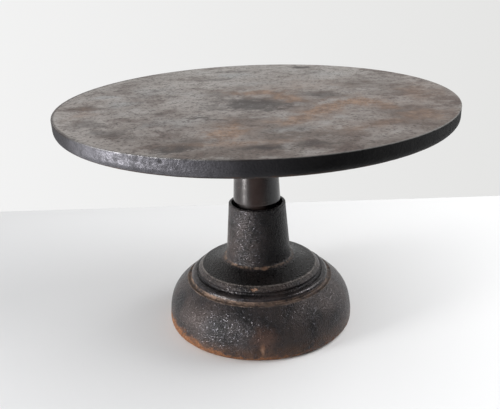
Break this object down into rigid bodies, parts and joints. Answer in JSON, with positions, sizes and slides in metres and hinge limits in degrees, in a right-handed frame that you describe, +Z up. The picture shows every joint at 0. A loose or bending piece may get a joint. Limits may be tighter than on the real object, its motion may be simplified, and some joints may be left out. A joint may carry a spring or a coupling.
{
  "type": "revolving counter stand",
  "caption": "Round iron plate on a turned stem that revolves on a ball race in the open socket of a moulded bell-shaped iron pedestal.",
  "frame": {"origin": "centre of the foot's lower face, on the counter", "axes": "+Z up along the axis that the plate turns about; +X and +Y are free, as the outside is round"},
  "size_m": [0.3556, 0.3556, 0.2165],
  "materials": {
    "plate_iron": "worn bare grey iron with brown rust stains, satin",
    "pedestal_iron": "dark aged rough casting with rust along its lower edge and in its grooves",
    "stem_iron": "turned, dark brown-grey patina",
    "spindle_steel": "turned, oiled",
    "bearing_steel": "ground and hardened",
    "fastener_steel": "dark oxide, a little rust",
    "bush_bronze": "bored bronze",
    "cage_brass": "stamped brass"
  },
  "bodies": {
    "pedestal": {"pedestal": "pedestal_iron", "upper_bush": "bush_bronze", "lower_bush": "bush_bronze", "lower_race": "bearing_steel"},
    "ball_train": {"ball_cage": "cage_brass", "race_ball_01": "bearing_steel", "race_ball_02": "bearing_steel", "race_ball_03": "bearing_steel", "race_ball_04": "bearing_steel", "race_ball_05": "bearing_steel", "race_ball_06": "bearing_steel", "race_ball_07": "bearing_steel", "race_ball_08": "bearing_steel", "race_ball_09": "bearing_steel", "race_ball_10": "bearing_steel", "race_ball_11": "bearing_steel", "race_ball_12": "bearing_steel"},
    "turntable": {"top_plate": "plate_iron", "stem": "stem_iron", "stem_taper_pin": "fastener_steel", "spindle": "spindle_steel", "upper_race": "bearing_steel", "flange_screw_1": "fastener_steel", "flange_screw_2": "fastener_steel", "flange_screw_3": "fastener_steel", "flange_screw_4": "fastener_steel", "keeper_washer": "fastener_steel", "castle_nut": "fastener_steel", "split_pin": "fastener_steel"}
  },
  "joints": [
    {"name": "table_turn", "type": "hinge", "parent": "pedestal", "child": "turntable", "pos_m": [0, 0, 0.1043], "axis": [0, 0, 1], "continuous": true},
    {"name": "cage_roll", "type": "hinge", "parent": "pedestal", "child": "ball_train", "pos_m": [0, 0, 0.1043], "axis": [0, 0, 1], "continuous": true}
  ],
  "couplings": [
    {"joint": "cage_roll", "follows": "table_turn", "ratio": 0.5}
  ]
}
